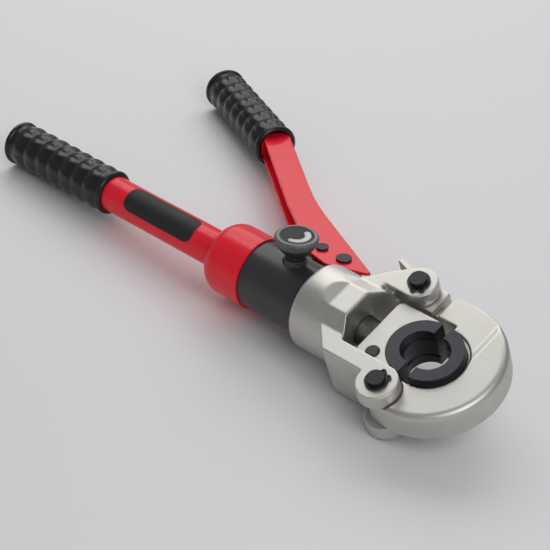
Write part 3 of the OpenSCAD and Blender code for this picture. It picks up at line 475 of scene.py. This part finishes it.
def fade_far(tree, shader):
    """Lets the floor far from the tool fade into the backdrop's colour for the camera alone."""
    glow = tree.nodes.new("ShaderNodeEmission")
    glow.inputs["Color"].default_value = BACKDROP
    place = tree.nodes.new("ShaderNodeTexCoord")
    reach = tree.nodes.new("ShaderNodeVectorMath")
    reach.operation = "LENGTH"
    far = tree.nodes.new("ShaderNodeMapRange")
    far.interpolation_type = "SMOOTHSTEP"
    far.inputs["From Min"].default_value = FADE_FROM
    far.inputs["From Max"].default_value = FADE_TO
    ray = tree.nodes.new("ShaderNodeLightPath")
    share = tree.nodes.new("ShaderNodeMath")
    share.operation = "MULTIPLY"
    blend = tree.nodes.new("ShaderNodeMixShader")
    tree.links.new(place.outputs["Object"], reach.inputs[0])
    tree.links.new(reach.outputs["Value"], far.inputs["Value"])
    tree.links.new(far.outputs["Result"], share.inputs[0])
    tree.links.new(ray.outputs["Is Camera Ray"], share.inputs[1])
    tree.links.new(share.outputs["Value"], blend.inputs["Fac"])
    tree.links.new(shader.outputs["BSDF"], blend.inputs[1])
    tree.links.new(glow.outputs["Emission"], blend.inputs[2])
    tree.links.new(blend.outputs["Shader"], tree.nodes["Material Output"].inputs["Surface"])


def studio():
    """Pale floor, soft sky and lamps."""
    size = FLOOR_HALF
    floor_mesh = bpy.data.meshes.new("floor")
    floor_mesh.from_pydata(
        [(-size, -size, 0), (size, -size, 0), (size, size, 0), (-size, size, 0)], [], [(0, 1, 2, 3)])
    floor = bpy.data.objects.new("floor", floor_mesh)
    bpy.context.scene.collection.objects.link(floor)
    floor.location = (0, 0, FLOOR_AT_ORIGIN)
    floor.rotation_euler = (FLOOR_ROLL, FLOOR_PITCH, 0)
    paint = bpy.data.materials.new("floor_paint")
    paint.use_nodes = True
    shader = paint.node_tree.nodes["Principled BSDF"]
    shader.inputs["Base Color"].default_value = FLOOR_COLOR
    shader.inputs["Roughness"].default_value = 0.55
    fade_far(paint.node_tree, shader)
    floor_mesh.materials.append(paint)
    world = bpy.data.worlds.new("studio")
    bpy.context.scene.world = world
    world.use_nodes = True
    sky = world.node_tree.nodes["Background"]
    sky.inputs["Color"].default_value = SKY_COLOR
    sky.inputs["Strength"].default_value = SKY_STRENGTH
    tree = world.node_tree
    pale = tree.nodes.new("ShaderNodeBackground")
    pale.inputs["Color"].default_value = BACKDROP
    ray = tree.nodes.new("ShaderNodeLightPath")
    choose = tree.nodes.new("ShaderNodeMixShader")
    tree.links.new(ray.outputs["Is Camera Ray"], choose.inputs["Fac"])
    tree.links.new(sky.outputs["Background"], choose.inputs[1])
    tree.links.new(pale.outputs["Background"], choose.inputs[2])
    tree.links.new(choose.outputs["Shader"], tree.nodes["World Output"].inputs["Surface"])
    for name, place, width, height, power in LAMPS:
        lamp(name, Vector(place), width, height, power)


def lamp(name, place, width, height, power):
    """Soft rectangular lamp that points at the tool."""
    light = bpy.data.lights.new(name, "AREA")
    light.shape = "RECTANGLE"
    light.size = width
    light.size_y = height
    light.energy = power
    obj = bpy.data.objects.new(name, light)
    bpy.context.scene.collection.objects.link(obj)
    obj.location = place
    obj.rotation_euler = (LIT_POINT - place).to_track_quat("-Z", "Y").to_euler()


def camera():
    """Camera at the photograph's place."""
    turn = Matrix((CAMERA_RIGHT, -CAMERA_DOWN, -CAMERA_AHEAD)).transposed()
    data = bpy.data.cameras.new("camera")
    data.lens = CAMERA_LENS
    data.sensor_width = CAMERA_SENSOR
    obj = bpy.data.objects.new("camera", data)
    bpy.context.scene.collection.objects.link(obj)
    obj.matrix_world = Matrix.Translation(CAMERA_PLACE) @ turn.to_4x4()
    bpy.context.scene.camera = obj


soften("yoke", "yoke_cast", "nickel_cast", "head", 0.45 * MM, 26)
jaw = soften("swing_jaw", "jaw_cast", "nickel_cast", "jaw", 0.45 * MM, 12)
round_jaw_corner(jaw)
soften("latch", "latch_cast", "nickel_cast", "latch", 0.35 * MM, 5)
soften("die_block", "block_cast", "nickel_cast", "ram", 0.4 * MM, 4)
soften("lever", "lever_pressed", "red_paint", "lever", 0.5 * MM, 4)
make_grip("grip_handle", "handle_grip", Vector((-TUBE_BACK - GRIP_END, 0, 0)), 0.0, "pump")
lever_grip_front = PIVOT + Matrix.Rotation(LEVER_ANGLE, 3, "Z") @ GRIP_ON_LEVER
lever_grip_rear = lever_grip_front - GRIP_LEN * Vector((math.cos(GRIP_ANGLE), math.sin(GRIP_ANGLE), 0))
make_grip("grip_lever", "lever_grip", lever_grip_rear, GRIP_ANGLE, "lever")
make_knob()
make_arrow()
make_label()
bpy.context.scene.view_settings.view_transform = "Standard"
studio()
camera()
